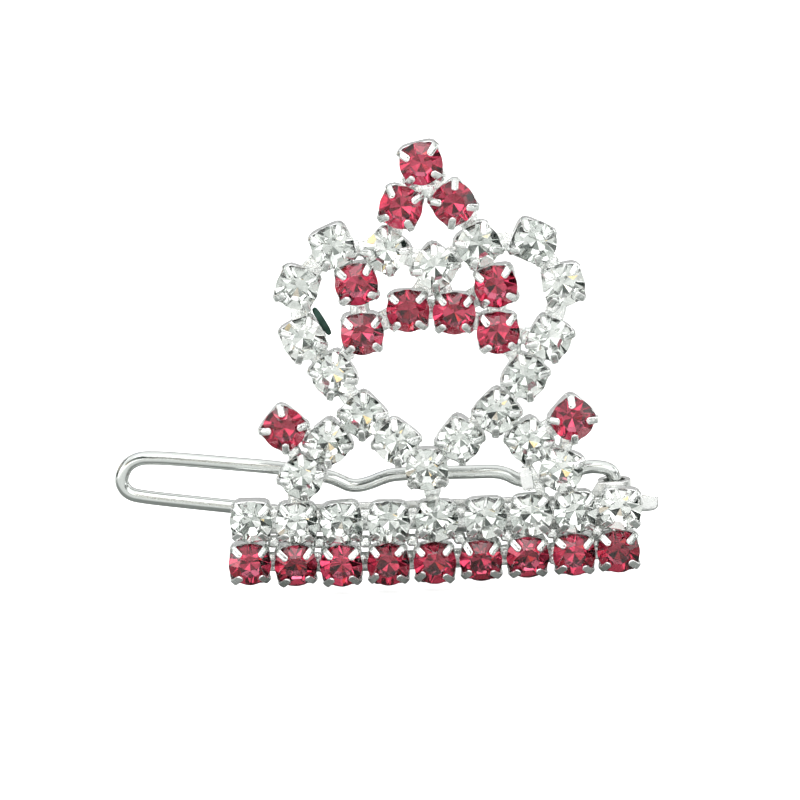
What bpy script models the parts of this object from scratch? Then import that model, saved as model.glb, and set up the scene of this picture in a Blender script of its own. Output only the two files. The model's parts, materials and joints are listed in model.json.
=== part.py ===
"""Rhinestone tiara hair clip: claw-set stones on a sprung wire hair slide.

World frame: +X to the right as seen from the front, +Y towards the hair, +Z to the crown's tip.
The origin is the middle of the gap that grips the hair, between the base strip and the wire loop.
Every dimension below is in millimetres. "Depth" is measured backwards (+Y) from the plane of the
stones' girdles, and "height" is measured upwards (+Z) from the middle stone of the lower rail.
"""
import math

import bmesh
import bpy
from mathutils import Matrix, Vector

MM = 0.001

# One chaton and the claw cup that holds it. Both are octagonal, with a claw on every other side,
# and the claws usually stand at 45 degrees to the run of the chain.
SIDES = 8
CLAW_TURN = 45
STONE_RADIUS = 1.60
TABLE_RADIUS = 0.85
GIRDLE_HALF_THICKNESS = 0.05
CROWN_HEIGHT = 0.75
PAVILION_DEPTH = 1.40
CUP_BACK_RADIUS = 1.30
CUP_RIM_RADIUS = 1.56
CUP_RIM_INNER_RADIUS = 1.36
CUP_FLOOR_RADIUS = 1.10
CUP_RIM_DEPTH = 0.40
CUP_FLOOR_DEPTH = 1.50
CUP_BACK_DEPTH = 1.80
# A claw's two stations beyond the rim: inner face, outer face (radius, depth) and half width.
CLAW_STATIONS = (((1.62, -0.08), (1.86, -0.08), 0.30), ((1.08, -0.55), (1.22, -0.84), 0.24))

# Links of the cup chain and solder tabs: flat bars let into the thickness of the cup floors.
BAR_START_RADIUS = 0.95
BAR_FRONT_DEPTH = 1.55
BAR_BACK_DEPTH = 1.75
LINK_WIDTH = 1.15
TAB_WIDTH = 0.70
SOLDER_GAP = 0.06

# The two rails, which bow downwards a little in the middle: each cup's (x, height).
LOWER_RAIL = (
    (-14.30, 0.38), (-10.74, 0.15), (-7.23, 0.02), (-3.56, 0.00), (0.05, 0.00), (3.62, 0.05), (7.28, 0.18),
    (10.88, 0.27), (14.33, 0.40),
)
UPPER_RAIL = (
    (-14.09, 3.74), (-10.53, 3.52), (-7.06, 3.40), (-3.42, 3.37), (0.32, 3.38), (4.08, 3.43), (7.62, 3.55),
    (11.07, 3.64), (14.55, 3.77),
)
LINK_STUB_REACH = 2.75

# The base strip behind the upper rail, rolled into the hinge knuckle at its right-hand end.
STRIP_THICKNESS = 0.45
STRIP_FRONT_DEPTH = 1.85
STRIP_BACK_DEPTH = STRIP_FRONT_DEPTH + STRIP_THICKNESS
STRIP_LEFT = -12.6
STRIP_BOTTOM = 2.30
STRIP_TOP = 4.55
KNUCKLE_START = 12.9
KNUCKLE_FLARE = 0.6
KNUCKLE_BOTTOM = 2.00
KNUCKLE_TOP = 5.50
KNUCKLE_INNER_RADIUS = 0.85
KNUCKLE_WRAP_DEGREES = 295
KNUCKLE_SEGMENTS = 14

# The catch at the strip's left-hand end: an upright with two ears that the legs snap over.
CATCH_LEFT = -11.2
CATCH_RIGHT = -9.6
CATCH_INSET = 0.05
EAR_THICKNESS = 0.30
EAR_LOWER = 4.62
EAR_UPPER = 5.55
EAR_BACK_DEPTH = 4.15
LIP_REACH = 0.30

# The sprung wire loop, which lies in one plane and turns on the knuckle's axis.
WIRE_RADIUS = 0.54
WIRE_SIDES_RESOLUTION = 3
WIRE_STEPS_PER_SPAN = 3
HINGE_X = 14.27
HINGE_DEPTH = STRIP_BACK_DEPTH + KNUCKLE_INNER_RADIUS
UPPER_LEG = (
    (14.27, 4.30), (14.27, 5.50), (14.00, 6.14), (13.25, 6.45), (12.00, 6.46), (9.90, 5.85), (8.30, 5.42),
    (6.80, 5.70), (5.90, 6.15), (4.92, 6.39), (3.04, 6.43), (0.00, 6.47), (-2.73, 6.44), (-3.83, 6.20),
    (-4.72, 5.88), (-5.60, 5.68), (-6.40, 5.74), (-7.12, 6.08), (-8.20, 6.50), (-11.68, 7.25), (-15.64, 7.77),
    (-19.52, 8.24), (-21.50, 8.42),
)
U_BEND = ((-22.70, 8.38), (-23.60, 7.90), (-24.08, 7.00), (-24.03, 6.28), (-23.50, 5.66))
LOWER_LEG = (
    (-22.40, 5.34), (-19.66, 4.91), (-15.78, 4.35), (-9.50, 3.46), (-7.80, 3.35), (-5.80, 3.72), (-4.30, 3.20),
    (-2.50, 2.72), (1.00, 2.35), (4.80, 1.95), (6.80, 2.20), (8.30, 2.28), (9.90, 1.70), (11.60, 1.15),
    (13.20, 1.00), (13.95, 1.22), (14.27, 1.85), (14.27, 3.20),
)

# The origin of the world frame, as a depth and a height.
GRIP_DEPTH = (STRIP_BACK_DEPTH + HINGE_DEPTH - WIRE_RADIUS) / 2
GRIP_HEIGHT = (STRIP_BOTTOM + STRIP_TOP) / 2

# Stones away from the rails: (x, height), and where a cup was set askew, the turn of its claws.
HEART = (
    (-6.95, 25.12, 71), (-2.89, 24.67, 3), (0.84, 23.29, 3), (4.21, 24.87, 73), (8.30, 25.00), (10.60, 21.57),
    (9.45, 17.40, 14), (7.50, 14.45), (5.20, 11.75), (2.28, 9.63, 8), (-0.33, 7.43), (-2.62, 9.68), (-5.15, 11.85),
    (-7.30, 15.12), (-9.48, 18.06, 73), (-9.79, 22.06),
)
PEAK = ((0.00, 31.35, 56), (-1.65, 28.03, 29), (2.38, 28.19, 81))
BOW = (
    (-5.25, 22.17, 50), (-4.93, 18.28, 48), (-1.38, 19.98, 45), (2.16, 19.66, 43), (5.41, 21.64, 51),
    (5.50, 18.02, 47),
)
LEFT_SCROLL = ((-11.22, 11.05, 0), (-7.90, 9.75, 86), (-10.00, 7.13, 6))
RIGHT_SCROLL = ((11.06, 11.02, 5), (7.65, 9.33, 87), (10.08, 7.00, 24))


def clear_scene():
    for thing in list(bpy.data.objects):
        bpy.data.objects.remove(thing, do_unlink=True)


def metres(x, depth, height):
    """World position of a point given by its x, depth and height."""
    return Vector((x, depth - GRIP_DEPTH, height - GRIP_HEIGHT)) * MM


def material(name, colour, roughness, metallic, transmission=0.0):
    made = bpy.data.materials.new(name)
    made.use_nodes = True
    shader = made.node_tree.nodes["Principled BSDF"]
    shader.inputs["Base Color"].default_value = (*colour, 1.0)
    shader.inputs["Roughness"].default_value = roughness
    shader.inputs["Metallic"].default_value = metallic
    shader.inputs["Transmission Weight"].default_value = transmission
    made.diffuse_color = (*colour, 1.0)
    return made


def link(name, data, finish=None):
    """Puts a new object into the scene, with its material."""
    thing = bpy.data.objects.new(name, data)
    bpy.context.scene.collection.objects.link(thing)
    if finish:
        data.materials.append(finish)
    return thing


def finished_mesh(name, shape):
    """Turns a bmesh into a mesh with its faces pointing outwards."""
    bmesh.ops.recalc_face_normals(shape, faces=shape.faces)
    data = bpy.data.meshes.new(name)
    shape.to_mesh(data)
    shape.free()
    return data


def octagon(shape, radius, depth, place=Matrix.Identity(4)):
    """Eight corners about the Y axis; the sides' middles are at multiples of 45 degrees from +X."""
    corners = []
    for number in range(SIDES):
        angle = math.tau * (number + 0.5) / SIDES
        point = Vector((radius * math.cos(angle), depth, radius * math.sin(angle))) * MM
        corners.append(shape.verts.new(place @ point))
    return corners


def skirt(shape, first, second, sides=range(SIDES)):
    """Joins two octagons with quads, on the given sides. Side n lies between corners n-1 and n."""
    for side in sides:
        shape.faces.new((first[side - 1], first[side], second[side], second[side - 1]))


def stone_mesh(name, finish):
    """A chaton: flat table at the front, crown, thin girdle, and a pavilion down to its culet."""
    shape = bmesh.new()
    table = octagon(shape, TABLE_RADIUS, -CROWN_HEIGHT)
    front = octagon(shape, STONE_RADIUS, -GIRDLE_HALF_THICKNESS)
    back = octagon(shape, STONE_RADIUS, GIRDLE_HALF_THICKNESS)
    culet = shape.verts.new(Vector((0.0, PAVILION_DEPTH, 0.0)) * MM)
    shape.faces.new(table)
    skirt(shape, table, front)
    skirt(shape, front, back)
    for side in range(SIDES):
        shape.faces.new((back[side - 1], back[side], culet))
    chaton = finished_mesh(name, shape)
    chaton.materials.append(finish)
    return chaton


def claw(shape, place, angle, root):
    """Carries the four corners of a rim side forwards, over the girdle and down onto the crown."""
    turned = place @ Matrix.Rotation(-angle, 4, "Y")
    section = root
    for inner, outer, half_width in CLAW_STATIONS:
        corners = []
        for (radius, depth), side in ((outer, -1), (outer, 1), (inner, 1), (inner, -1)):
            corners.append(shape.verts.new(turned @ (Vector((radius, depth, side * half_width)) * MM)))
        for number in range(4):
            shape.faces.new((section[number - 1], section[number], corners[number], corners[number - 1]))
        section = corners
    shape.faces.new(section)


def cup(shape, x, height, turn):
    """One claw cup: a tapered octagonal bowl with a claw on each of four sides."""
    place = Matrix.Translation(metres(x, 0.0, height)) @ Matrix.Rotation(-math.radians(turn), 4, "Y")
    back = octagon(shape, CUP_BACK_RADIUS, CUP_BACK_DEPTH, place)
    rim = octagon(shape, CUP_RIM_RADIUS, CUP_RIM_DEPTH, place)
    inner_rim = octagon(shape, CUP_RIM_INNER_RADIUS, CUP_RIM_DEPTH, place)
    floor = octagon(shape, CUP_FLOOR_RADIUS, CUP_FLOOR_DEPTH, place)
    shape.faces.new(back)
    skirt(shape, back, rim)
    skirt(shape, inner_rim, floor)
    shape.faces.new(floor)
    skirt(shape, rim, inner_rim, sides=range(1, SIDES, 2))
    for side in range(0, SIDES, 2):
        root = (rim[side - 1], rim[side], inner_rim[side], inner_rim[side - 1])
        claw(shape, place, math.tau * side / SIDES, root)


def bar(shape, start, end, width, start_radius, end_radius):
    """A flat bar between two cup centres, cut short by a radius at each end."""
    along = Vector((end[0] - start[0], end[1] - start[1]))
    length = along.length
    along.normalize()
    across = Vector((-along.y, along.x)) * (width / 2)
    ends = (Vector(start[:2]) + along * start_radius, Vector(start[:2]) + along * (length - end_radius))
    layers = []
    for depth in (BAR_FRONT_DEPTH, BAR_BACK_DEPTH):
        outline = (ends[0] - across, ends[1] - across, ends[1] + across, ends[0] + across)
        layers.append([shape.verts.new(metres(point.x, depth, point.y)) for point in outline])
    front, back = layers
    shape.faces.new(front)
    shape.faces.new(back)
    for number in range(4):
        shape.faces.new((front[number - 1], front[number], back[number], back[number - 1]))


def claw_turns(cups, closed=False):
    """Each cup's turn: its own, or the usual one from the run of the chain at that cup."""
    turns = []
    for number, place in enumerate(cups):
        before = cups[number - 1] if number or closed else place
        after = cups[(number + 1) % len(cups)] if closed or number < len(cups) - 1 else place
        run = math.degrees(math.atan2(after[1] - before[1], after[0] - before[0]))
        turns.append(place[2] if len(place) > 2 else run + CLAW_TURN)
    return turns


def settings(name, cups, turns, links, tabs, finish):
    """A run of cups as one soldered piece: links join its own cups, tabs reach for other pieces' cups."""
    shape = bmesh.new()
    for place, turn in zip(cups, turns):
        cup(shape, place[0], place[1], turn)
    piece = link(name, finished_mesh(name, shape), finish)
    bars = bmesh.new()
    for first, second in links:
        bar(bars, cups[first], cups[second], LINK_WIDTH, BAR_START_RADIUS, BAR_START_RADIUS)
    for first, target in tabs:
        bar(bars, cups[first], target, TAB_WIDTH, BAR_START_RADIUS, CUP_RIM_RADIUS + SOLDER_GAP)
    joiner = link(f"{name}_bars", finished_mesh(f"{name}_bars", bars))
    joiner.hide_render = True
    joiner.display_type = "WIRE"
    union = piece.modifiers.new("solder", "BOOLEAN")
    union.operation = "UNION"
    union.solver = "EXACT"
    union.object = joiner
    return piece


def stones(names, cups, turns, chaton):
    """One stone object in each cup, all of them sharing one mesh."""
    for name, place, turn in zip(names, cups, turns):
        stone = link(name, chaton)
        stone.location = metres(place[0], 0.0, place[1])
        stone.rotation_euler = (0.0, -math.radians(turn), 0.0)


def chain_links(count, closed=False):
    pairs = [(number, number + 1) for number in range(count - 1)]
    if closed:
        pairs.append((count - 1, 0))
    return pairs


def numbered(stem, count):
    return [f"{stem}_{number}" for number in range(1, count + 1)]


def rails(silver, pink_chaton, clear_chaton):
    lower, upper = ([(x, height, CLAW_TURN) for x, height in rail] for rail in (LOWER_RAIL, UPPER_RAIL))
    turns = claw_turns(lower)
    links = chain_links(len(lower))
    settings("lower_rail_settings", lower, turns, links, [], silver)
    tabs = list(enumerate(lower))
    last = upper[-1]
    stub_target = (last[0] + LINK_STUB_REACH + CUP_RIM_RADIUS + SOLDER_GAP, last[1])
    tabs.append((len(upper) - 1, stub_target))
    settings("upper_rail_settings", upper, turns, links, tabs, silver)
    stones(numbered("lower_rail_stone", len(lower)), lower, turns, pink_chaton)
    stones(numbered("upper_rail_stone", len(upper)), upper, turns, clear_chaton)
    return upper


def crown(upper_rail, silver, pink_chaton, clear_chaton):
    """The heart-shaped ring of clear stones, with the pink peak above it and the pink bow inside it."""
    turns = claw_turns(HEART, closed=True)
    tabs = [(0, BOW[0]), (3, BOW[4]), (4, BOW[4]), (12, LEFT_SCROLL[1]), (8, RIGHT_SCROLL[1])]
    tabs += [(10, upper_rail[4]), (3, PEAK[2]), (1, BOW[0])]
    settings("heart_settings", HEART, turns, chain_links(len(HEART), closed=True), tabs, silver)
    stones(numbered("heart_stone", len(HEART)), HEART, turns, clear_chaton)
    turns = claw_turns(PEAK)
    settings("peak_settings", PEAK, turns, [(0, 1), (0, 2)], [], silver)
    stones(numbered("peak_stone", len(PEAK)), PEAK, turns, pink_chaton)
    turns = claw_turns(BOW)
    settings("bow_settings", BOW, turns, [(0, 1), (1, 2), (2, 3), (3, 5), (5, 4)], [], silver)
    stones(numbered("bow_stone", len(BOW)), BOW, turns, pink_chaton)


def scroll(side, cups, silver, pink_chaton, clear_chaton):
    """Three cups curling up from the rail to a pink tip."""
    turns = claw_turns(cups)
    settings(f"{side}_scroll_settings", cups, turns, chain_links(len(cups)), [], silver)
    names = [f"{side}_scroll_{place}_stone" for place in ("tip", "middle", "foot")]
    stones(names[:1], cups, turns, pink_chaton)
    stones(names[1:], cups[1:], turns[1:], clear_chaton)


def strip_stations():
    """Cross-sections of the base strip: (front point, back point, bottom, top), the points as (x, depth)."""
    stations = []
    for x, bottom, top in (
        (STRIP_LEFT, STRIP_BOTTOM, STRIP_TOP),
        (KNUCKLE_START - KNUCKLE_FLARE, STRIP_BOTTOM, STRIP_TOP),
        (KNUCKLE_START, KNUCKLE_BOTTOM, KNUCKLE_TOP),
    ):
        stations.append(((x, STRIP_FRONT_DEPTH), (x, STRIP_BACK_DEPTH), bottom, top))
    outer_radius = KNUCKLE_INNER_RADIUS + STRIP_THICKNESS
    for step in range(KNUCKLE_SEGMENTS + 1):
        angle = math.radians(-90 + KNUCKLE_WRAP_DEGREES * step / KNUCKLE_SEGMENTS)
        points = []
        for radius in (outer_radius, KNUCKLE_INNER_RADIUS):
            points.append((HINGE_X + radius * math.cos(angle), HINGE_DEPTH + radius * math.sin(angle)))
        stations.append((points[0], points[1], KNUCKLE_BOTTOM, KNUCKLE_TOP))
    return stations


def clip_base(finish):
    """The stamped base: a flat strip, rolled round the hinge axis, with the catch standing at its left."""
    shape = bmesh.new()
    sections = []
    for front, back, bottom, top in strip_stations():
        corners = ((front, bottom), (front, top), (back, top), (back, bottom))
        sections.append([shape.verts.new(metres(point[0], point[1], height)) for point, height in corners])
    shape.faces.new(sections[0])
    shape.faces.new(sections[-1])
    for first, second in zip(sections, sections[1:]):
        for number in range(4):
            shape.faces.new((first[number - 1], first[number], second[number], second[number - 1]))
    piece = link("clip_base", finished_mesh("clip_base", shape), finish)
    catch = link("catch", finished_mesh("catch", catch_shape()))
    catch.hide_render = True
    catch.display_type = "WIRE"
    union = piece.modifiers.new("catch", "BOOLEAN")
    union.operation = "UNION"
    union.solver = "EXACT"
    union.object = catch


def catch_shape():
    """An upright with two ears turned back from it, each ending in a lip turned towards its leg."""
    front = STRIP_FRONT_DEPTH + CATCH_INSET
    back = STRIP_BACK_DEPTH - CATCH_INSET
    lip_front = EAR_BACK_DEPTH - EAR_THICKNESS
    low, high = EAR_LOWER, EAR_UPPER
    low_inner, high_outer = low + EAR_THICKNESS, high + EAR_THICKNESS
    foot = STRIP_BOTTOM + (STRIP_TOP - STRIP_BOTTOM) / 2
    outline = (
        (front, foot), (front, high_outer), (lip_front, high_outer), (lip_front, high_outer + LIP_REACH),
        (EAR_BACK_DEPTH, high_outer + LIP_REACH), (EAR_BACK_DEPTH, high), (back, high), (back, low_inner),
        (EAR_BACK_DEPTH, low_inner), (EAR_BACK_DEPTH, low - LIP_REACH), (lip_front, low - LIP_REACH),
        (lip_front, low), (back, low), (back, foot),
    )
    shape = bmesh.new()
    left = [shape.verts.new(metres(CATCH_LEFT, depth, height)) for depth, height in outline]
    right = [shape.verts.new(metres(CATCH_RIGHT, depth, height)) for depth, height in outline]
    shape.faces.new(left)
    shape.faces.new(right)
    for number in range(len(outline)):
        shape.faces.new((left[number - 1], left[number], right[number], right[number - 1]))
    return shape


def smooth_path(points):
    """A Catmull-Rom curve through the points, sampled a few times in each span."""
    padded = [points[0], *points, points[-1]]
    path = []
    for number in range(len(points) - 1):
        before, start, end, after = (Vector(point) for point in padded[number:number + 4])
        for step in range(WIRE_STEPS_PER_SPAN):
            t = step / WIRE_STEPS_PER_SPAN
            path.append(0.5 * (
                2 * start + (end - before) * t
                + (2 * before - 5 * start + 4 * end - after) * t ** 2
                + (3 * start - before - 3 * end + after) * t ** 3
            ))
    path.append(Vector(points[-1]))
    return path


def wire_loop(finish):
    """The U-shaped spring wire, its two ends turned into the knuckle. Its origin is on the hinge axis."""
    axis = metres(HINGE_X, HINGE_DEPTH, GRIP_HEIGHT)
    curve = bpy.data.curves.new("wire_loop", "CURVE")
    curve.dimensions = "3D"
    curve.bevel_depth = WIRE_RADIUS * MM
    curve.bevel_resolution = WIRE_SIDES_RESOLUTION
    curve.use_fill_caps = True
    path = smooth_path(UPPER_LEG + U_BEND + LOWER_LEG)
    run = curve.splines.new("POLY")
    run.points.add(len(path) - 1)
    for point, place in zip(run.points, path):
        point.co = (*(metres(place.x, HINGE_DEPTH, place.y) - axis), 1.0)
    run.use_smooth = True
    piece = link("wire_loop", curve, finish)
    piece.location = axis


def build():
    clear_scene()
    silver = material("silver_plate", (0.80, 0.81, 0.80), 0.18, 1.0)
    steel = material("spring_steel", (0.55, 0.57, 0.55), 0.32, 1.0)
    nickel = material("nickel_strip", (0.66, 0.67, 0.65), 0.28, 1.0)
    rose_glass = material("rose_glass", (0.62, 0.05, 0.11), 0.03, 0.0, transmission=0.6)
    clear_glass = material("clear_glass", (0.85, 0.87, 0.85), 0.03, 0.0, transmission=0.8)
    pink_chaton = stone_mesh("pink_chaton", rose_glass)
    clear_chaton = stone_mesh("clear_chaton", clear_glass)
    upper_rail = rails(silver, pink_chaton, clear_chaton)
    crown(upper_rail, silver, pink_chaton, clear_chaton)
    scroll("left", LEFT_SCROLL, silver, pink_chaton, clear_chaton)
    scroll("right", RIGHT_SCROLL, silver, pink_chaton, clear_chaton)
    clip_base(nickel)
    wire_loop(steel)
    bpy.context.view_layer.update()


build()
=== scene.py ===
import json
import math
import random

import bmesh
import bpy
from mathutils import Euler, Matrix, Vector


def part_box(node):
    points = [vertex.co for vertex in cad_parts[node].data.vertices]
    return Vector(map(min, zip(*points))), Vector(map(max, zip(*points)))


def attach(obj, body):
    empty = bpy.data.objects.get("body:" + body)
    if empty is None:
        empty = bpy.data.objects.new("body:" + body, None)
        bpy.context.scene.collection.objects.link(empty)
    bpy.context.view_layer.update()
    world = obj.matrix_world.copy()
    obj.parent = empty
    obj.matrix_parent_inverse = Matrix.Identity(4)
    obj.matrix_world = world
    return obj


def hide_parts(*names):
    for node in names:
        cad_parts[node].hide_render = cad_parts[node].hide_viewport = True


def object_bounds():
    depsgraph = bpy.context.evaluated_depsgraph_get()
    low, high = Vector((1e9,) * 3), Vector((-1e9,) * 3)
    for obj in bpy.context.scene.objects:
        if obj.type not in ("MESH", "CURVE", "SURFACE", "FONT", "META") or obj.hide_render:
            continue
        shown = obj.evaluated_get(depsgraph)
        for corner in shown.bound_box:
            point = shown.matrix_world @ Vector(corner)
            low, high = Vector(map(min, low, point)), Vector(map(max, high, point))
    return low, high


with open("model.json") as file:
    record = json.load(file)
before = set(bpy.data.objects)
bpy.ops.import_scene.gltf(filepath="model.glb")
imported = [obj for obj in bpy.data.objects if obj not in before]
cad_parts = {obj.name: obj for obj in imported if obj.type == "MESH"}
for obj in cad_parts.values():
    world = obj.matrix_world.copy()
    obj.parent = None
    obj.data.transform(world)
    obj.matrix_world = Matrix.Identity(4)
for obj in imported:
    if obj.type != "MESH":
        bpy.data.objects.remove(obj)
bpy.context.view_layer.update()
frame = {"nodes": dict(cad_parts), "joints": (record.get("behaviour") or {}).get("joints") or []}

MM = 0.001
ORNAMENT = "ornament"
LOOP = "spring_loop"

# ---- The frame's stones and settings -------------------------------------------------------------

# The CAD stones' height above their girdles, and where the tips of the CAD claws lie about a stone's centre.
CAD_CROWN = 0.75 * MM
CAD_CLAW_TIP_DEPTH = -0.5 * MM
CAD_CLAW_REACH = 1.4 * MM


def numbered(stem, count):
    return [f"{stem}_{number}" for number in range(1, count + 1)]


def scroll_names(side):
    return [f"{side}_scroll_{place}_stone" for place in ("tip", "middle", "foot")]


STONES_OF = {
    "lower_rail_settings": numbered("lower_rail_stone", 9),
    "upper_rail_settings": numbered("upper_rail_stone", 9),
    "heart_settings": numbered("heart_stone", 16),
    "peak_settings": numbered("peak_stone", 3),
    "bow_settings": numbered("bow_stone", 6),
    "left_scroll_settings": scroll_names("left"),
    "right_scroll_settings": scroll_names("right"),
}
PINK_STEMS = ("lower_rail", "peak", "bow", "left_scroll_tip", "right_scroll_tip")


def girdle_centre(stone):
    """The middle of a CAD stone's girdle."""
    low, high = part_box(stone)
    return Vector(((low.x + high.x) / 2, low.y + CAD_CROWN, (low.z + high.z) / 2))


GIRDLE_PLANE = girdle_centre("lower_rail_stone_5")


def behind(x, depth, height):
    """A point given in mm: x, depth behind the girdles, height above the lower rail's middle stone."""
    return Vector((x * MM, GIRDLE_PLANE.y + depth * MM, GIRDLE_PLANE.z + height * MM))


def claw_turn(settings, centre):
    """The angle of one claw about a stone, read from the claw tips of the CAD settings round it."""
    total = Vector((0.0, 0.0))
    for vertex in frame["nodes"][settings].data.vertices:
        offset = vertex.co - centre
        if offset.y < CAD_CLAW_TIP_DEPTH and math.hypot(offset.x, offset.z) < CAD_CLAW_REACH:
            quarter = 4 * math.atan2(offset.z, offset.x)
            total += Vector((math.cos(quarter), math.sin(quarter)))
    return math.atan2(total.y, total.x) / 4


# ---- Node materials ------------------------------------------------------------------------------

class Nodes:
    """A small helper that adds and links shader nodes."""

    def __init__(self, name):
        self.material = bpy.data.materials.new(name)
        self.material.use_nodes = True
        self.tree = self.material.node_tree
        self.shader = self.tree.nodes["Principled BSDF"]

    def add(self, kind, **settings):
        node = self.tree.nodes.new(kind)
        for key, value in settings.items():
            setattr(node, key, value)
        return node

    def set(self, **values):
        for key, value in values.items():
            self.shader.inputs[key.replace("_", " ")].default_value = value

    def wire(self, source, target):
        self.tree.links.new(source, target)

    def coordinates(self, scale=(1000.0, 1000.0, 1000.0), output="Object"):
        """Object coordinates in millimetres, or another output stretched by a scale."""
        place = self.add("ShaderNodeTexCoord")
        mapping = self.add("ShaderNodeMapping")
        mapping.inputs["Scale"].default_value = scale
        self.wire(place.outputs[output], mapping.inputs["Vector"])
        return mapping.outputs["Vector"]

    def noise(self, vector, scale, detail=3.0, roughness=0.5):
        texture = self.add("ShaderNodeTexNoise")
        texture.inputs["Scale"].default_value = scale
        texture.inputs["Detail"].default_value = detail
        texture.inputs["Roughness"].default_value = roughness
        self.wire(vector, texture.inputs["Vector"])
        return texture.outputs["Fac"]

    def spread(self, value, low, high, low_from=0.3, high_from=0.7):
        """Maps a value to a range of numbers, by default from the usual span of a noise."""
        ranged = self.add("ShaderNodeMapRange")
        self.wire(value, ranged.inputs["Value"])
        ranged.inputs["From Min"].default_value = low_from
        ranged.inputs["From Max"].default_value = high_from
        ranged.inputs["To Min"].default_value = low
        ranged.inputs["To Max"].default_value = high
        return ranged.outputs["Result"]

    def ramp(self, value, *stops):
        """A colour ramp: stops are (position, (r, g, b))."""
        made = self.add("ShaderNodeValToRGB")
        elements = made.color_ramp.elements
        while len(elements) < len(stops):
            elements.new(0.5)
        for element, (position, colour) in zip(elements, stops):
            element.position = position
            element.color = (*colour, 1.0)
        self.wire(value, made.inputs["Fac"])
        return made.outputs["Color"]

    def bump(self, height, strength, distance):
        made = self.add("ShaderNodeBump")
        made.inputs["Strength"].default_value = strength
        made.inputs["Distance"].default_value = distance
        self.wire(height, made.inputs["Height"])
        self.wire(made.outputs["Normal"], self.shader.inputs["Normal"])


def glass_crown(name, pale, deep, sheen):
    """Polished glass, faintly uneven in colour, with hairline wear that only shows in its roughness."""
    nodes = Nodes(name)
    place = nodes.coordinates()
    tone = nodes.ramp(nodes.noise(place, 0.9, 2.0), (0.35, deep), (0.65, pale))
    nodes.wire(tone, nodes.shader.inputs["Base Color"])
    nodes.set(Transmission_Weight=1.0, IOR=1.57, Specular_IOR_Level=sheen)
    wear = nodes.spread(nodes.noise(place, 6.0, 4.0), 0.0, 0.03, 0.45, 0.8)
    nodes.wire(wear, nodes.shader.inputs["Roughness"])
    return nodes.material


def foil(name, bright, dull):
    """The mirror foil on a pavilion: cloudy, and taken differently by each facet (the attribute "facet")."""
    nodes = Nodes(name)
    place = nodes.coordinates()
    facet = nodes.add("ShaderNodeAttribute", attribute_name="facet")
    cloudy = nodes.add("ShaderNodeMath", operation="ADD")
    nodes.wire(facet.outputs["Fac"], cloudy.inputs[0])
    nodes.wire(nodes.spread(nodes.noise(place, 1.6, 3.0), -0.18, 0.18), cloudy.inputs[1])
    tone = nodes.ramp(cloudy.outputs["Value"], (0.0, dull), (0.75, bright))
    nodes.wire(tone, nodes.shader.inputs["Base Color"])
    nodes.set(Metallic=1.0)
    nodes.wire(nodes.spread(nodes.noise(place, 3.0), 0.015, 0.07), nodes.shader.inputs["Roughness"])
    return nodes.material


def plated(name, bright, dull, roughness, dents):
    """Plated metal: small dents from the stamping, and clouding where it was handled."""
    nodes = Nodes(name)
    place = nodes.coordinates()
    tone = nodes.ramp(nodes.noise(place, 1.1, 4.0, 0.6), (0.3, dull), (0.6, bright))
    nodes.wire(tone, nodes.shader.inputs["Base Color"])
    nodes.set(Metallic=1.0)
    low, high = roughness
    nodes.wire(nodes.spread(nodes.noise(place, 5.0, 4.0), low, high), nodes.shader.inputs["Roughness"])
    nodes.bump(nodes.noise(place, 3.5, 3.0), dents, 0.00012)
    return nodes.material


def shaded_face_claw(name):
    """Plated claws with painted shade on their flat faces, while their rounded edges stay bright."""
    nodes = Nodes(name)
    place = nodes.coordinates()
    face = nodes.add("ShaderNodeAttribute", attribute_name="face")
    uneven = nodes.spread(nodes.noise(place, 1.3, 3.0), 0.75, 1.0)
    face_shaded = nodes.add("ShaderNodeMath", operation="MULTIPLY")
    nodes.wire(face.outputs["Fac"], face_shaded.inputs[0])
    nodes.wire(uneven, face_shaded.inputs[1])
    # Painted shade: the higher "face" is, the darker the plate; rounded edges and tips keep the bright plate.
    tone = nodes.ramp(face_shaded.outputs["Value"], (0.15, (0.97, 0.975, 0.97)), (0.85, (0.50, 0.53, 0.505)))
    nodes.wire(tone, nodes.shader.inputs["Base Color"])
    nodes.set(Metallic=1.0)
    nodes.wire(nodes.spread(nodes.noise(place, 5.0, 4.0), 0.12, 0.30), nodes.shader.inputs["Roughness"])
    nodes.bump(nodes.noise(place, 4.0, 3.0), 0.3, 0.0001)
    return nodes.material


def drawn_wire(name):
    """Drawn spring steel: fine lines along the wire, from its UV map (u round the wire, v along it in mm)."""
    nodes = Nodes(name)
    lines = nodes.noise(nodes.coordinates((26.0, 0.16, 1.0), "UV"), 1.0, 5.0, 0.65)
    patches = nodes.noise(nodes.coordinates(), 0.6, 3.0)
    tone = nodes.ramp(lines, (0.25, (0.575, 0.60, 0.585)), (0.75, (0.675, 0.70, 0.68)))
    nodes.wire(tone, nodes.shader.inputs["Base Color"])
    nodes.set(Metallic=1.0)
    mixed = nodes.add("ShaderNodeMath", operation="MULTIPLY")
    nodes.wire(lines, mixed.inputs[0])
    nodes.wire(patches, mixed.inputs[1])
    nodes.wire(nodes.spread(mixed.outputs["Value"], 0.13, 0.24, 0.12, 0.42), nodes.shader.inputs["Roughness"])
    nodes.bump(lines, 0.25, 0.00002)
    return nodes.material


# As reflections see it, the floor carries a painted shadow: it is dark up to the first of these distances
# from Y = 0, in mm, and pale beyond the second.
SHADOW_REACH = (6.0, 14.0)


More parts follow.
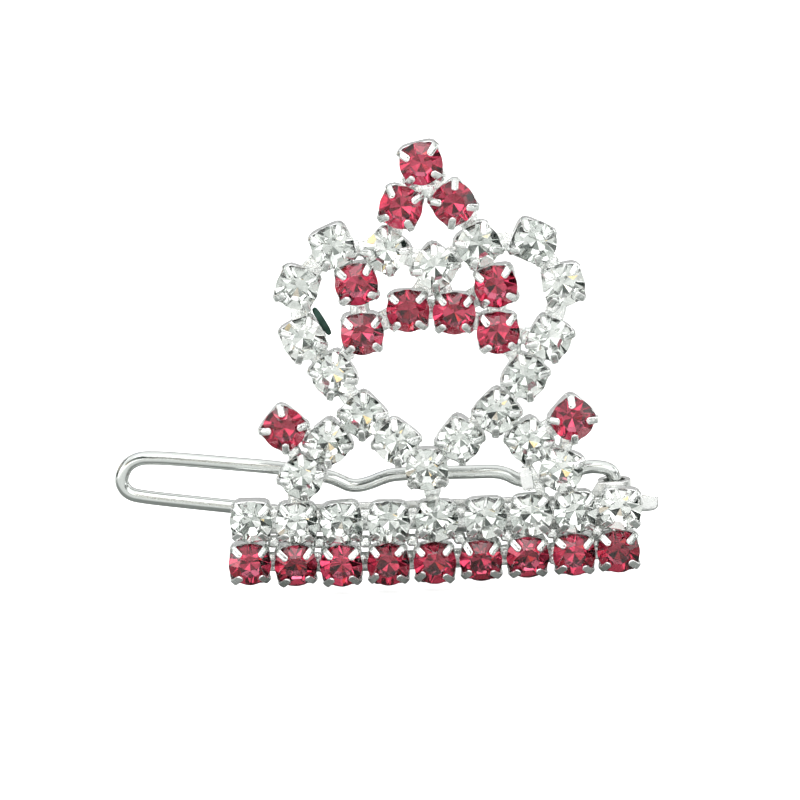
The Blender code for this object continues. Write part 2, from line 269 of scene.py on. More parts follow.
def paper(name):
    """The pale floor, with a barely visible tooth. Reflections see it dimmer, and dark near the object: a
    painted shadow.
    """
    nodes = Nodes(name)
    place = nodes.coordinates()
    tooth = nodes.noise(place, 0.8, 5.0)
    tone = nodes.ramp(tooth, (0.2, (0.93, 0.93, 0.93)), (0.8, (0.96, 0.96, 0.96)))
    nodes.wire(tone, nodes.shader.inputs["Base Color"])
    nodes.set(Roughness=0.9, Specular_IOR_Level=0.1, Emission_Strength=0.62)
    nodes.shader.inputs["Emission Color"].default_value = (1.0, 1.0, 1.0, 1.0)
    nodes.bump(tooth, 0.02, 0.00005)
    across = nodes.add("ShaderNodeSeparateXYZ")
    nodes.wire(place, across.inputs["Vector"])
    away = nodes.add("ShaderNodeMath", operation="ABSOLUTE")
    nodes.wire(across.outputs["Y"], away.inputs[0])
    distance = nodes.spread(away.outputs["Value"], 0.0, 1.0, *SHADOW_REACH)
    # Painted shadow of the object on the floor, seen only in reflections.
    shadow = nodes.ramp(distance, (0.0, (0.26, 0.275, 0.265)), (1.0, (0.74, 0.75, 0.74)))
    dim = nodes.add("ShaderNodeBsdfDiffuse")
    nodes.wire(shadow, dim.inputs["Color"])
    seen = nodes.add("ShaderNodeLightPath")
    choose = nodes.add("ShaderNodeMixShader")
    nodes.wire(seen.outputs["Is Camera Ray"], choose.inputs["Fac"])
    nodes.wire(dim.outputs["BSDF"], choose.inputs[1])
    nodes.wire(nodes.shader.outputs["BSDF"], choose.inputs[2])
    nodes.wire(choose.outputs["Shader"], nodes.tree.nodes["Material Output"].inputs["Surface"])
    return nodes.material


CLEAR_CROWN = glass_crown("clear_crown_glass", (0.985, 0.99, 0.985), (0.95, 0.965, 0.955), 0.5)
PINK_CROWN = glass_crown("rose_crown_glass", (0.63, 0.315, 0.395), (0.55, 0.25, 0.33), 0.35)
CLEAR_FOIL = foil("clear_foil", (0.96, 0.965, 0.955), (0.66, 0.69, 0.67))
PINK_FOIL = foil("rose_foil", (0.97, 0.42, 0.54), (0.50, 0.15, 0.20))
SILVER = plated("silver_plate", (0.95, 0.955, 0.95), (0.86, 0.87, 0.86), (0.10, 0.24), 0.35)
# Claw plate with painted shade on the flat faces of the claws.
CLAW_SILVER = shaded_face_claw("claw_silver")
SOLDER = plated("silver_solder", (0.91, 0.92, 0.91), (0.58, 0.61, 0.59), (0.12, 0.28), 1.0)
# Painted shade: a nearly black plate for the dark link bar.
PAINTED_SHADE_PLATE = plated("painted_shade_link", (0.05, 0.09, 0.075), (0.02, 0.045, 0.035), (0.25, 0.45), 0.4)
NICKEL = plated("nickel_strip", (0.80, 0.805, 0.79), (0.70, 0.71, 0.69), (0.22, 0.36), 0.15)
STEEL = drawn_wire("drawn_spring_steel")
PAPER = paper("pale_paper")


# ---- Making objects ------------------------------------------------------------------------------

def new_piece(name, shape, *materials, sharp=None):
    """A mesh object from a bmesh. With sharp given, it is smooth apart from edges over that many degrees."""
    bmesh.ops.recalc_face_normals(shape, faces=shape.faces)
    data = bpy.data.meshes.new(name)
    shape.to_mesh(data)
    shape.free()
    for made in materials:
        data.materials.append(made)
    if sharp is not None:
        data.shade_smooth()
        data.set_sharp_from_angle(angle=math.radians(sharp))
    piece = bpy.data.objects.new(name, data)
    bpy.context.scene.collection.objects.link(piece)
    return piece


def stand_for(piece, body, slot, *nodes):
    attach(piece, body)
    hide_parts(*nodes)


def bridge(shape, rings):
    """Joins a list of closed vertex rings with quads."""
    for first, second in zip(rings, rings[1:]):
        for number in range(len(first)):
            shape.faces.new((first[number - 1], first[number], second[number], second[number - 1]))


def cap(shape, rings):
    """Closes both ends of a run of rings."""
    shape.faces.new(rings[0])
    shape.faces.new(rings[-1])


def catmull_rom(points, steps):
    """A smooth curve through points of any dimension, with a number of steps between each two."""
    padded = [points[0], *points, points[-1]]
    path = []
    for number in range(len(points) - 1):
        before, start, end, after = (Vector(point) for point in padded[number:number + 4])
        for step in range(steps):
            t = step / steps
            path.append(0.5 * (
                2 * start + (end - before) * t
                + (2 * before - 5 * start + 4 * end - after) * t ** 2
                + (3 * start - before - 3 * end + after) * t ** 3
            ))
    path.append(Vector(points[-1]))
    return path


# ---- Stones --------------------------------------------------------------------------------------

# The chaton's cut, in mm: eight facets on each side of a girdle that is round to six steps a facet.
FOLD = 8
GIRDLE_STEPS = 6
STONE_RADIUS = 1.66
TABLE_RADIUS = STONE_RADIUS * 0.54
CROWN_HEIGHT = 0.70
PAVILION_DEPTH = 1.36
GIRDLE_HALF = 0.035
TILT_DEGREES = 4.0
STONE_SEED = 5
FOIL_SLOT = 1
# A stone that has slipped in its claws: (shift along X in mm, lean about the vertical in degrees).
SLIPPED = {"heart_stone_5": (0.26, -13.0)}


def polar(radius, depth, angle):
    """A point in the stone's own frame, in metres: its axis is Y and its table faces -Y."""
    return Vector((radius * math.cos(angle), depth, radius * math.sin(angle))) * MM


def chaton(crown_material, foil_material):
    """A machine-cut chaton: a table and eight facets, a round girdle, and eight foiled facets behind."""
    shape = bmesh.new()
    wedge = math.tau / FOLD
    corner = math.cos(wedge / 2)
    table_flat = TABLE_RADIUS * corner
    crown_fall = (CROWN_HEIGHT - GIRDLE_HALF) / (STONE_RADIUS * corner - table_flat)
    pavilion_rise = GIRDLE_HALF - PAVILION_DEPTH
    table = [shape.verts.new(polar(TABLE_RADIUS, -CROWN_HEIGHT, wedge * (n - 0.5))) for n in range(FOLD)]
    culet = shape.verts.new(polar(0.0, PAVILION_DEPTH, 0.0))
    front, back = [], []
    for step in range(FOLD * GIRDLE_STEPS):
        angle = wedge * (step / GIRDLE_STEPS - 0.5)
        nearest = wedge * round(angle / wedge)
        if step % GIRDLE_STEPS == 0:
            nearest = angle + wedge / 2
        reach = STONE_RADIUS * math.cos(angle - nearest)
        crown_depth = -CROWN_HEIGHT + crown_fall * (reach - table_flat)
        pavilion_depth = PAVILION_DEPTH + pavilion_rise * reach / STONE_RADIUS
        front.append(shape.verts.new(polar(STONE_RADIUS, crown_depth, angle)))
        back.append(shape.verts.new(polar(STONE_RADIUS, pavilion_depth, angle)))
    shape.faces.new(table)
    for number in range(FOLD):
        span = [(number * GIRDLE_STEPS + step) % len(front) for step in range(GIRDLE_STEPS + 1)]
        shape.faces.new([table[number], *(front[n] for n in span), table[(number + 1) % FOLD]])
        shape.faces.new([culet, *(back[n] for n in span)]).material_index = FOIL_SLOT
    bridge(shape, (front, back))
    bmesh.ops.recalc_face_normals(shape, faces=shape.faces)
    data = bpy.data.meshes.new("chaton")
    shape.to_mesh(data)
    shape.free()
    data.materials.append(crown_material)
    data.materials.append(foil_material)
    return data


def place_stones():
    """Puts a chaton in each cup, each with its own turn and slight tilt. Returns every cup's placing."""
    draws = random.Random(STONE_SEED)
    cuts = {True: chaton(PINK_CROWN, PINK_FOIL), False: chaton(CLEAR_CROWN, CLEAR_FOIL)}
    cups = {}
    for settings, names in STONES_OF.items():
        cups[settings] = []
        for name in names:
            centre = girdle_centre(name)
            turn = claw_turn(settings, centre)
            tilt = [math.radians(draws.uniform(-TILT_DEGREES, TILT_DEGREES)) for _ in range(3)]
            lean = Matrix.Translation(centre) @ Euler(tilt).to_matrix().to_4x4()
            cups[settings].append(lean @ Matrix.Rotation(-turn, 4, "Y"))
            if name in SLIPPED:
                shift, swing = SLIPPED[name]
                slid = Matrix.Translation((shift * MM, 0.0, 0.0))
                lean = slid @ lean @ Matrix.Rotation(math.radians(swing), 4, "Z")
            pink = name.startswith(PINK_STEMS)
            cut = cuts[pink].copy()
            took_foil = cut.attributes.new("facet", "FLOAT", "FACE")
            for facet in took_foil.data:
                facet.value = draws.random()
            cut.transform(lean @ Matrix.Rotation(draws.uniform(0, math.tau), 4, "Y"))
            piece = bpy.data.objects.new(f"{name}_cut", cut)
            bpy.context.scene.collection.objects.link(piece)
            stand_for(piece, ORNAMENT, "rose_stone" if pink else "clear_stone", name)
    return cups


# ---- Claw settings -------------------------------------------------------------------------------

# A cup seen from the front is a superellipse with this power: 2 is round, and more is squarer.
SQUARENESS = 5.0
CUP_STEPS = 32
# Rings of the bowl from the middle of its back round the rim to its floor, in mm:
# (half side, depth, lift at the claws).
BOWL = (
    (0.28, 1.64, 0.0), (0.46, 1.77, 0.0), (1.16, 1.80, 0.0), (1.46, 1.72, 0.0), (1.58, 1.50, 0.0),
    (1.60, 0.95, 0.0), (1.58, 0.45, 0.08), (1.57, 0.30, 0.10), (1.52, 0.25, 0.10), (1.47, 0.34, 0.10),
    (1.46, 0.95, 0.0), (1.20, 1.42, 0.0),
)
# A claw's middle line from its root to its tip, in mm:
# (distance from the stone's axis, depth, half width, half thickness).
CLAW = (
    (1.58, 1.60, 0.36, 0.13), (1.77, 1.10, 0.34, 0.13), (1.88, 0.60, 0.31, 0.13),
    (1.91, 0.25, 0.295, 0.13), (1.87, -0.03, 0.29, 0.13), (1.70, -0.25, 0.285, 0.125),
    (1.48, -0.42, 0.285, 0.12), (1.25, -0.59, 0.28, 0.115), (1.03, -0.75, 0.27, 0.105),
)
CLAW_STEPS = 3
CLAW_SIDES = 12
# How square a claw's section is: below 1 its sides are flatter than an ellipse's.
CLAW_SQUARING = 0.5
# A claw narrows over this last length in mm, to these shares of its width and of its thickness.
TIP_ROUNDING = 0.18
TIP_WIDTH = 0.30
TIP_THICKNESS = 0.55
# How far hand-pressed claws differ at their tips, in mm and about the stone in degrees.
CLAW_REACH_PLAY = (-0.07, 0.07)
CLAW_PRESS_PLAY = (-0.03, 0.02)
CLAW_SWAY_PLAY = (-0.09, 0.09)
CLAW_WOBBLE_DEGREES = 5.0
BEND_POWER = 4
CLAW_SEED = 8
# The face of a claw that takes painted shade, as a share of its half width, and how deep that painted shade
# may be (the attribute "face").
FACE_SHARE = 0.75
FACE_SHADE_DEPTH = (0.30, 0.90)
CLAW_SLOT = 1


def bowl(shape, place):
    """The stamped bowl: a rounded square whose corners point along the claws."""
    rings = []
    for half_side, depth, lift in BOWL:
        ring = []
        for step in range(CUP_STEPS):
            angle = math.tau * step / CUP_STEPS
            flat = angle + math.pi / 4
            spread = abs(math.cos(flat)) ** SQUARENESS + abs(math.sin(flat)) ** SQUARENESS
            radius = half_side / spread ** (1 / SQUARENESS)
            ring.append(shape.verts.new(place @ polar(radius, depth - lift * math.cos(4 * angle), angle)))
        rings.append(ring)
    bridge(shape, rings)
    cap(shape, rings)


def claw(shape, place, draws):
    """One claw: a flat strip with rounded edges, rising from the bowl's corner and bent over the crown."""
    face = shape.verts.layers.float["face"]
    face_shade = draws.uniform(*FACE_SHADE_DEPTH)
    reach = draws.uniform(*CLAW_REACH_PLAY)
    press = draws.uniform(*CLAW_PRESS_PLAY)
    sway = draws.uniform(*CLAW_SWAY_PLAY)
    line = catmull_rom(CLAW, CLAW_STEPS)
    lengths = [0.0]
    for first, second in zip(line, line[1:]):
        lengths.append(lengths[-1] + math.hypot(second[0] - first[0], second[1] - first[1]))
    rings = []
    for number, station in enumerate(line):
        along = lengths[number] / lengths[-1]
        before, after = line[max(number - 1, 0)], line[min(number + 1, len(line) - 1)]
        run = Vector((after[0] - before[0], after[1] - before[1])).normalized()
        left = lengths[-1] - lengths[number]
        shrink = 1.0
        if left < TIP_ROUNDING:
            shrink = max(math.sqrt(1 - (1 - left / TIP_ROUNDING) ** 2), TIP_WIDTH)
        half_width = station[2] * shrink
        half_thickness = station[3] * (TIP_THICKNESS + (1 - TIP_THICKNESS) * shrink)
        bend = along ** BEND_POWER
        at_tip = number == len(line) - 1
        middle = (station[0] - reach * bend, station[1] + press * bend)
        ring = []
        for side in range(CLAW_SIDES):
            angle = math.tau * side / CLAW_SIDES
            share = math.copysign(abs(math.cos(angle)) ** CLAW_SQUARING, math.cos(angle))
            across = share * half_width
            through = math.sin(angle) * half_thickness
            radius = middle[0] - run.y * through
            depth = middle[1] + run.x * through
            point = Vector((radius, depth, across + sway * bend)) * MM
            corner = shape.verts.new(place @ point)
            # The flat face takes this claw's painted shade; its edges and tip take none.
            on_face = math.sin(angle) > 0 and abs(share) < FACE_SHARE and not at_tip
            corner[face] = face_shade if on_face else 0.0
            ring.append(corner)
        rings.append(ring)
    first_new = len(shape.faces)
    bridge(shape, rings)
    cap(shape, rings)
    shape.faces.ensure_lookup_table()
    for made in shape.faces[first_new:]:
        made.material_index = CLAW_SLOT


def make_settings(cups):
    """One piece for each soldered length of cup chain."""
    draws = random.Random(CLAW_SEED)
    for settings, places in cups.items():
        shape = bmesh.new()
        shape.verts.layers.float.new("face")
        for place in places:
            bowl(shape, place)
            for quarter in range(4):
                wobble = math.radians(draws.uniform(-CLAW_WOBBLE_DEGREES, CLAW_WOBBLE_DEGREES))
                claw(shape, place @ Matrix.Rotation(-math.pi / 2 * quarter + wobble, 4, "Y"), draws)
        piece = new_piece(f"{settings}_shaped", shape, SILVER, CLAW_SILVER, sharp=50)
        stand_for(piece, ORNAMENT, "silver_plate", settings)


# ---- Links and solder ----------------------------------------------------------------------------

# Bars between cups: how far behind the girdles they lie, how far inside a cup they start (in mm), and half
# their size.
LINK_DEPTH = 1.30 * MM
LINK_INSET = 1.1
LINK_HALF_HEIGHT = 0.80 * MM
BRIDGE_HALF_HEIGHT = 0.55 * MM
LINK_HALF_THICKNESS = 0.17 * MM
# Cups this close are soldered, and neighbours in one chain are linked up to this far apart.
SOLDER_REACH = 4.15 * MM
LINK_REACH = 4.6 * MM
# Drops of solder round each bar: how far they slip along X, Y and Z, their size, and their thickness.
SOLDER_DROPS = 2
DROP_SLIPS = ((-0.45, 0.45), (-0.5, 0.1), (-0.45, 0.45))
DROP_SIZE = (0.32, 0.55)
DROP_LENGTH = 0.1 * MM
DROP_HALF_THICKNESS = 0.30 * MM
SOLDER_SEED = 21
# Saddles of solder where four cups of the two rails meet.
SADDLE_DEPTH = 0.95 * MM
SADDLE_LENGTH = 0.05 * MM
SADDLE_HALF_HEIGHT = 0.46 * MM
SADDLE_HALF_THICKNESS = 0.62 * MM
# The solder between the three cups of the peak: its ends from their middle point, and half its size.
PEAK_WEB = (Vector((-0.25, 0.85, -0.05)) * MM, Vector((0.25, 0.85, -0.05)) * MM)
PEAK_WEB_HALF_HEIGHT = 0.62 * MM
PEAK_WEB_HALF_THICKNESS = 0.30 * MM
# How finely the solder is melted into one skin, and how it is eased afterwards.
SOLDER_VOXEL = 0.08 * MM
EASE_FACTOR = 0.5
EASE_ROUNDS = 4
# The link left at the right-hand end of the upper rail: where it starts and ends from the last stone, in mm.
STUB = ((1.60, 1.30, 0.20), (2.30, 1.30, 0.22))
STUB_HALF_HEIGHT = 0.74 * MM
STUB_HALF_THICKNESS = 0.19 * MM
# Loose ends of links and solder: (start x, start height, end x, end height, depth, half width), in mm.
STRAPS = ((7.50, 7.20, 8.50, 5.15, 1.10, 0.42), (-8.98, 19.95, -7.80, 18.05, 1.05, 0.15))
BRIGHT_STRAP = (7.30, 6.85, 7.45, 5.75, 0.85, 0.50)
# The dark strap is a bar of painted shade.
DARK_STRAP = (-8.50, 20.05, -7.55, 18.35, 1.10, 0.27)
STRAP_HALF_THICKNESS = 0.14 * MM
LINK_SHARP_DEGREES = 60
# The net of a flattened capsule: its sides and steps, how near the poles it reaches, and how square it is.
CAPSULE_SIDES = 16
CAPSULE_STEPS = 9
CAPSULE_TOP_DEGREES = 84
CAPSULE_SQUARENESS = 0.6


def flat_capsule(shape, start, end, half_height, half_thickness):
    """A rounded bar between two points of one depth, in the plane of the ornament."""
    along = end - start
    length = along.length
    turn = Matrix.Rotation(-math.atan2(along.z, along.x), 4, "Y")
    size = Matrix.Diagonal((length / 2 + half_height, half_thickness, half_height, 1.0))
    place = Matrix.Translation((start + end) / 2) @ turn @ size
    rings = []
    for step in range(CAPSULE_STEPS + 1):
        rise = math.radians(CAPSULE_TOP_DEGREES) * (2 * step / CAPSULE_STEPS - 1)
        ring = []
        for number in range(CAPSULE_SIDES):
            turned = math.tau * number / CAPSULE_SIDES
            unit = (math.cos(rise) * math.cos(turned), math.cos(rise) * math.sin(turned), math.sin(rise))
            squared = Vector([math.copysign(abs(value) ** CAPSULE_SQUARENESS, value) for value in unit])
            ring.append(shape.verts.new(place @ squared))
        rings.append(ring)
    bridge(shape, rings)
    cap(shape, rings)


def strap(shape, start_x, start_height, end_x, end_height, depth, half_width):
    """A thin flat bar lying across the back of the ornament."""
    ends = behind(start_x, depth, start_height), behind(end_x, depth, end_height)
    flat_capsule(shape, *ends, half_width * MM, STRAP_HALF_THICKNESS)


def make_loose_strap(name, placing, material):
    """A link end of its own colour: one is nearly black, a bar of painted shade, and one is polished."""
    shape = bmesh.new()
    strap(shape, *placing)
    piece = new_piece(name, shape, material, sharp=LINK_SHARP_DEGREES)
    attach(piece, ORNAMENT)


def make_stub(cups):
    """The end of the cut link, a plain flat tongue."""
    shape = bmesh.new()
    last = cups["upper_rail_settings"][-1].translation
    ends = [last + Vector(place) * MM for place in STUB]
    flat_capsule(shape, *ends, STUB_HALF_HEIGHT, STUB_HALF_THICKNESS)
    piece = new_piece("cut_link", shape, SILVER, sharp=LINK_SHARP_DEGREES)
    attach(piece, ORNAMENT)


def joined_pairs(cups):
    """Pairs of cup centres with a bar between them, and whether it is a chain's own link.

    Each chain's neighbours are linked, the heart's chain is closed, and cups close by are soldered. The two
    lower cups of the peak are joined to its top cup only.
    """
    rows = []
    for settings, places in cups.items():
        rows += [(settings, number, place.translation) for number, place in enumerate(places)]
    closing = len(STONES_OF["heart_settings"]) - 1
    pairs = []
    for number, (chain, place, centre) in enumerate(rows):
        for other_chain, other_place, other_centre in rows[number + 1:]:
            gap = (centre - other_centre).length
            same = chain == other_chain
            steps = abs(place - other_place)
            neighbours = same and (steps == 1 or (chain == "heart_settings" and steps == closing))
            peak = same and chain == "peak_settings"
            if peak and place != 0:
                continue
            if gap < SOLDER_REACH or (neighbours and gap < LINK_REACH) or peak:
                pairs.append((centre, other_centre, neighbours))
    return pairs


def make_solder(cups):
    """Chain links and solder behind the cups, melted together into one skin."""
    draws = random.Random(SOLDER_SEED)
    shape = bmesh.new()
    back = Vector((0.0, LINK_DEPTH, 0.0))
    for first, second, linked in joined_pairs(cups):
        inward = (second - first).normalized() * LINK_INSET * MM
        height = LINK_HALF_HEIGHT if linked else BRIDGE_HALF_HEIGHT
        flat_capsule(shape, first + inward + back, second - inward + back, height, LINK_HALF_THICKNESS)
        for _ in range(SOLDER_DROPS):
            slip = Vector([draws.uniform(*slips) for slips in DROP_SLIPS]) * MM
            middle = (first + second) / 2 + back + slip
            size = draws.uniform(*DROP_SIZE) * MM
            flat_capsule(shape, middle, middle + Vector((DROP_LENGTH, 0.0, 0.0)), size, DROP_HALF_THICKNESS)
    rows = [[place.translation for place in cups[f"{rail}_rail_settings"]] for rail in ("lower", "upper")]
    for number in range(len(rows[0]) - 1):
        corners = [row[number + step] for row in rows for step in (0, 1)]
        middle = sum(corners, Vector()) / 4 + Vector((0.0, SADDLE_DEPTH, 0.0))
        end = middle + Vector((SADDLE_LENGTH, 0.0, 0.0))
        flat_capsule(shape, middle, end, SADDLE_HALF_HEIGHT, SADDLE_HALF_THICKNESS)
    peak = sum((place.translation for place in cups["peak_settings"]), Vector()) / 3
    ends = [peak + end for end in PEAK_WEB]
    flat_capsule(shape, *ends, PEAK_WEB_HALF_HEIGHT, PEAK_WEB_HALF_THICKNESS)
    for placing in STRAPS:
        strap(shape, *placing)
    piece = new_piece("links_and_solder", shape, SOLDER)
    melt = piece.modifiers.new("melt", "REMESH")
    melt.mode = "VOXEL"
    melt.voxel_size = SOLDER_VOXEL
    melt.use_smooth_shade = True
    ease = piece.modifiers.new("ease", "SMOOTH")
    ease.factor = EASE_FACTOR
    ease.iterations = EASE_ROUNDS
    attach(piece, ORNAMENT)


# ---- The clip behind -----------------------------------------------------------------------------

AXIS = Vector(frame["joints"][0]["pos_m"])
WIRE_RADIUS = 0.54 * MM
WIRE_SIDES = 28
WIRE_STEPS = 7
# The wire's middle line in its own plane: (x, height above the lower rail's middle stone), in mm.
WIRE_LINE = (
    (14.27, 4.30), (14.27, 5.50), (14.00, 6.14), (13.25, 6.45), (12.00, 6.46), (9.90, 5.85),
    (8.30, 5.42), (6.80, 5.70), (5.90, 6.15), (4.92, 6.39), (3.04, 6.43), (0.00, 6.47),
    (-2.73, 6.44), (-3.83, 6.20), (-4.72, 5.88), (-5.60, 5.68), (-6.40, 5.74), (-7.12, 6.08),
    (-8.20, 6.50), (-11.68, 7.25), (-15.64, 7.77), (-19.52, 8.24), (-21.50, 8.42), (-22.70, 8.38),
    (-23.60, 7.90), (-24.08, 7.00), (-24.03, 6.28), (-23.50, 5.66), (-22.40, 5.34), (-19.66, 4.91),
    (-15.78, 4.35), (-9.50, 3.46), (-7.80, 3.35), (-5.80, 3.72), (-4.30, 3.20), (-2.50, 2.72),
    (1.00, 2.35), (4.80, 1.95), (6.80, 2.20), (8.30, 2.28), (9.90, 1.70), (11.60, 1.15),
    (13.20, 1.00), (13.95, 1.22), (14.27, 1.85), (14.27, 3.20),
)


def make_wire():
    """The sprung loop: a round tube swept along its line, with closed ends and a UV map along the wire."""
    shape = bmesh.new()
    uv = shape.loops.layers.uv.new("along")
    line = [behind(point.x, 0.0, point.y) for point in catmull_rom(WIRE_LINE, WIRE_STEPS)]
    for point in line:
        point.y = AXIS.y
    depthwise = Vector((0.0, 1.0, 0.0))
    rings, runs, travelled = [], [], 0.0
    for number, point in enumerate(line):
        run = (line[min(number + 1, len(line) - 1)] - line[max(number - 1, 0)]).normalized()
        side = run.cross(depthwise)
        if number:
            travelled += (point - line[number - 1]).length
        ring = []
        for step in range(WIRE_SIDES):
            angle = math.tau * step / WIRE_SIDES
            offset = side * math.cos(angle) + depthwise * math.sin(angle)
            ring.append(shape.verts.new(point + offset * WIRE_RADIUS))
        rings.append(ring)
        runs.append(travelled / MM)
    for number in range(len(rings) - 1):
        first, second = rings[number], rings[number + 1]
        for step in range(WIRE_SIDES):
            following = (step + 1) % WIRE_SIDES
            face = shape.faces.new((first[step], first[following], second[following], second[step]))
            corners = ((step, number), (step + 1, number), (step + 1, number + 1), (step, number + 1))
            for loop, (round_step, length_step) in zip(face.loops, corners):
                loop[uv].uv = (round_step / WIRE_SIDES, runs[length_step])
    cap(shape, rings)
    piece = new_piece("wire_loop_drawn", shape, STEEL, sharp=LINK_SHARP_DEGREES)
    stand_for(piece, LOOP, "spring_wire", "wire_loop")


# The strip, in mm: the depths of its two faces, and its outline as (x, bottom, top).
STRIP_FRONT, STRIP_BACK = 1.85, 2.30
STRIP_PROFILE = ((-12.6, 2.30, 4.55), (12.3, 2.30, 4.55), (12.9, 2.00, 5.50))
STRIP_EDGE = 0.08
# The knuckle is the strip's end rolled round the hinge's axis by this many degrees.
KNUCKLE_INNER = 0.85
KNUCKLE_START_DEGREES = -90
KNUCKLE_WRAP_DEGREES = 295
KNUCKLE_SEGMENTS = 48
# The catch, in mm: its outline from the side as (depth, height), and between which X it lies.
CATCH = (
    (1.90, 3.4), (1.90, 5.85), (3.85, 5.85), (3.85, 6.15), (4.15, 6.15), (4.15, 5.55), (2.25, 5.55),
    (2.25, 4.92), (4.15, 4.92), (4.15, 4.32), (3.85, 4.32), (3.85, 4.62), (2.25, 4.62), (2.25, 3.4),
)
CATCH_X = (-11.2, -9.6)
CATCH_EDGE = 0.06
STAMPED_SHARP_DEGREES = 35
EDGE_SEGMENTS = 2
EDGE_LIMIT_DEGREES = 40


def make_strip():
    """The stamped base strip, rolled into the knuckle, with softened edges."""
    shape = bmesh.new()
    sections = []
    for x, bottom, top in STRIP_PROFILE:
        sections.append(((x, STRIP_FRONT), (x, STRIP_BACK), bottom, top))
    centre = (AXIS.x / MM, STRIP_BACK + KNUCKLE_INNER)
    _, end_bottom, end_top = STRIP_PROFILE[-1]
    for step in range(KNUCKLE_SEGMENTS + 1):
        angle = math.radians(KNUCKLE_START_DEGREES + KNUCKLE_WRAP_DEGREES * step / KNUCKLE_SEGMENTS)
        points = []
        for radius in (KNUCKLE_INNER + STRIP_BACK - STRIP_FRONT, KNUCKLE_INNER):
            points.append((centre[0] + radius * math.cos(angle), centre[1] + radius * math.sin(angle)))
        sections.append((*points, end_bottom, end_top))
    rings = []
    for front, back, bottom, top in sections:
        corners = ((front, bottom), (front, top), (back, top), (back, bottom))
        rings.append([shape.verts.new(behind(point[0], point[1], height)) for point, height in corners])
    bridge(shape, rings)
    cap(shape, rings)
    piece = new_piece("clip_base_rolled", shape, NICKEL, sharp=STAMPED_SHARP_DEGREES)
    soften(piece, STRIP_EDGE)
    stand_for(piece, ORNAMENT, "nickel_strip", "clip_base")


def soften(piece, width):
    """Rounds a stamped piece's edges by a width in mm."""
    edge = piece.modifiers.new("edges", "BEVEL")
    edge.width = width * MM
    edge.segments = EDGE_SEGMENTS
    edge.limit_method = "ANGLE"
    edge.angle_limit = math.radians(EDGE_LIMIT_DEGREES)
    edge.harden_normals = True


def make_catch():
    """The folded catch: an upright with two ears, whose lips hold the loop's legs."""
    shape = bmesh.new()
    rings = []
    for x in CATCH_X:
        rings.append([shape.verts.new(behind(x, depth, height)) for depth, height in CATCH])
    bridge(shape, rings)
    cap(shape, rings)
    piece = new_piece("catch_folded", shape, NICKEL, sharp=STAMPED_SHARP_DEGREES)
    soften(piece, CATCH_EDGE)
    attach(piece, ORNAMENT)


# ---- Stage, light and camera ---------------------------------------------------------------------

# The floor lies just below the object, which a holder out of sight keeps upright. Both are in metres.
FLOOR_GAP = 0.70 * MM
FLOOR_HALF = 1.2


def make_floor():
    """A wide sheet of pale paper."""
    low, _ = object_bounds()
    shape = bmesh.new()
    for x, y in ((-1, -1), (1, -1), (1, 1), (-1, 1)):
        shape.verts.new((x * FLOOR_HALF, y * FLOOR_HALF, low.z - FLOOR_GAP))
    shape.faces.new(shape.verts)
    floor = new_piece("floor", shape, PAPER)


# What reflections see: panels in cells of this scale and shift, each a tone by a share of chance; behind
# the object a plain grey sweep, fading in between these two values of the direction's Y; and overhead a
# ceiling, likewise along Z.
PANEL_SCALE = 3.3
PANEL_SHIFT = (2.05, 1.40, 0.90)
PANELS = (
    (0.0, (0.01, 0.018, 0.015)), (0.26, (0.11, 0.13, 0.12)), (0.36, (0.42, 0.45, 0.43)),
    (0.44, (0.74, 0.65, 0.54)), (0.50, (1.2, 1.21, 1.19)), (0.64, (2.0, 2.02, 2.0)),
    (0.82, (3.0, 3.0, 3.0)), (0.95, (1.7, 1.25, 0.65)), (0.975, (0.7, 0.95, 1.6)),
)
SWEEP = (0.40, 0.80)
SWEEP_STRENGTH = 0.55
CEILING = (0.66, 0.84)
CEILING_STRENGTH = 1.35
BACKDROP_STRENGTH = 1.1
WHITE = (1.0, 1.0, 1.0, 1.0)


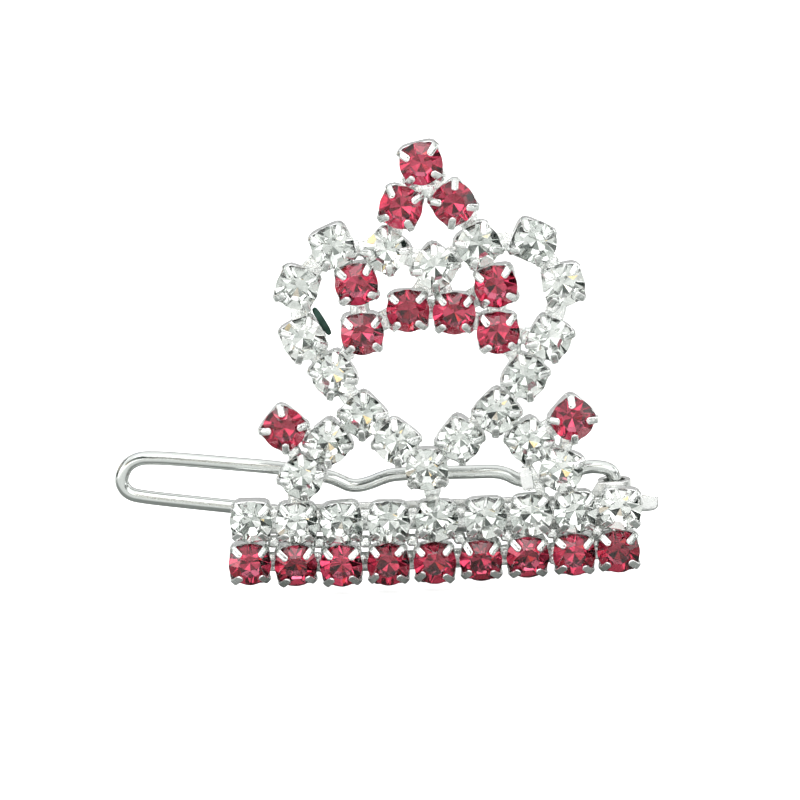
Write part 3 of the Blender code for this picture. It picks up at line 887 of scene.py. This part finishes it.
def make_world():
    """A soft white tent with grey and dark panels for reflections. The camera itself sees plain white."""
    world = bpy.data.worlds.new("studio")
    bpy.context.scene.world = world
    world.use_nodes = True
    tree = world.node_tree
    tree.nodes.clear()

    def add(kind, **settings):
        node = tree.nodes.new(kind)
        for key, value in settings.items():
            setattr(node, key, value)
        return node

    def link(source, target):
        tree.links.new(source, target)

    def background(strength=1.0):
        made = add("ShaderNodeBackground")
        made.inputs["Color"].default_value = WHITE
        made.inputs["Strength"].default_value = strength
        return made

    def between(value, limits):
        ranged = add("ShaderNodeMapRange", interpolation_type="SMOOTHSTEP")
        ranged.inputs["From Min"].default_value, ranged.inputs["From Max"].default_value = limits
        link(value, ranged.inputs["Value"])
        return ranged.outputs["Result"]

    def mix(factor, first, second):
        made = add("ShaderNodeMixShader")
        link(factor, made.inputs["Fac"])
        link(first, made.inputs[1])
        link(second, made.inputs[2])
        return made.outputs["Shader"]

    direction = add("ShaderNodeTexCoord").outputs["Generated"]
    turned = add("ShaderNodeMapping")
    turned.inputs["Location"].default_value = PANEL_SHIFT
    link(direction, turned.inputs["Vector"])
    cells = add("ShaderNodeTexVoronoi")
    cells.inputs["Scale"].default_value = PANEL_SCALE
    link(turned.outputs["Vector"], cells.inputs["Vector"])
    split = add("ShaderNodeSeparateColor")
    link(cells.outputs["Color"], split.inputs["Color"])
    tone = add("ShaderNodeValToRGB")
    tone.color_ramp.interpolation = "CONSTANT"
    elements = tone.color_ramp.elements
    while len(elements) < len(PANELS):
        elements.new(0.5)
    for element, (position, colour) in zip(elements, PANELS):
        element.position = position
        element.color = (*colour, 1.0)
    link(split.outputs["Red"], tone.inputs["Fac"])
    studio = background()
    link(tone.outputs["Color"], studio.inputs["Color"])
    axes = add("ShaderNodeSeparateXYZ")
    link(direction, axes.inputs["Vector"])
    sweep = background(SWEEP_STRENGTH).outputs["Background"]
    walls = mix(between(axes.outputs["Y"], SWEEP), studio.outputs["Background"], sweep)
    ceiling = background(CEILING_STRENGTH).outputs["Background"]
    lit = mix(between(axes.outputs["Z"], CEILING), walls, ceiling)
    backdrop = background(BACKDROP_STRENGTH).outputs["Background"]
    seen = add("ShaderNodeLightPath").outputs["Is Camera Ray"]
    output = add("ShaderNodeOutputWorld")
    link(mix(seen, lit, backdrop), output.inputs["Surface"])


# The softbox over the front: its place, what it faces, its size in metres and its power in watts.
SOFTBOX_PLACE = (-0.05, -0.15, 0.35)
SOFTBOX_TARGET = (0.0, 0.0, 0.01)
SOFTBOX_SIZE = (0.25, 0.20)
SOFTBOX_POWER = 0.35


def make_lights():
    """One soft rectangular light, which the camera doesn't see."""
    light = bpy.data.lights.new("top_softbox", "AREA")
    light.shape = "RECTANGLE"
    light.size, light.size_y = SOFTBOX_SIZE
    light.energy = SOFTBOX_POWER
    lamp = bpy.data.objects.new("top_softbox", light)
    bpy.context.scene.collection.objects.link(lamp)
    lamp.location = SOFTBOX_PLACE
    lamp.visible_camera = False
    facing = Vector(SOFTBOX_TARGET) - Vector(SOFTBOX_PLACE)
    lamp.rotation_euler = facing.to_track_quat("-Z", "Y").to_euler()


# The photo's view: degrees above the face and of roll, lens and sensor in mm, and how wide the picture is at
# its centre, which is given as behind() takes it.
VIEW_ELEVATION = 12.0
VIEW_ROLL = 1.985
LENS = 200.0
SENSOR = 36.0
VIEW_WIDTH = 61.6 * MM
VIEW_CENTRE = (-2.22, 0.0, 13.03)
CLIP_START, CLIP_END = 0.01, 10.0


def make_camera():
    """A long lens a little above the face, rolled slightly, looking at a point among the girdles."""
    target = behind(*VIEW_CENTRE)
    rise = math.radians(VIEW_ELEVATION)
    back = Vector((0.0, -math.cos(rise), math.sin(rise)))
    data = bpy.data.cameras.new("camera")
    data.lens = LENS
    data.sensor_width = SENSOR
    data.clip_start, data.clip_end = CLIP_START, CLIP_END
    camera = bpy.data.objects.new("camera", data)
    bpy.context.scene.collection.objects.link(camera)
    aim = (-back).to_track_quat("-Z", "Y").to_matrix().to_4x4()
    distance = VIEW_WIDTH * LENS / SENSOR
    camera.matrix_world = (
        Matrix.Translation(target + back * distance) @ aim @ Matrix.Rotation(math.radians(-VIEW_ROLL), 4, "Z")
    )
    bpy.context.scene.camera = camera


# Light is caught between a stone's foil and its crown more often than Cycles' usual four bounces.
FOIL_BOUNCES = 7


def show_plainly():
    """Colours go out as they are lit, so that the pale ground stays white."""
    scene = bpy.context.scene
    scene.view_settings.view_transform = "Standard"
    scene.view_settings.look = "None"
    scene.cycles.glossy_bounces = FOIL_BOUNCES


make_camera()
all_cups = place_stones()
make_settings(all_cups)
make_solder(all_cups)
# The dark link is a bar of painted shade.
make_loose_strap("painted_shade_link", DARK_STRAP, PAINTED_SHADE_PLATE)
make_loose_strap("polished_link", BRIGHT_STRAP, SILVER)
make_stub(all_cups)
make_wire()
make_strip()
make_catch()
make_floor()
make_world()
make_lights()
show_plainly()
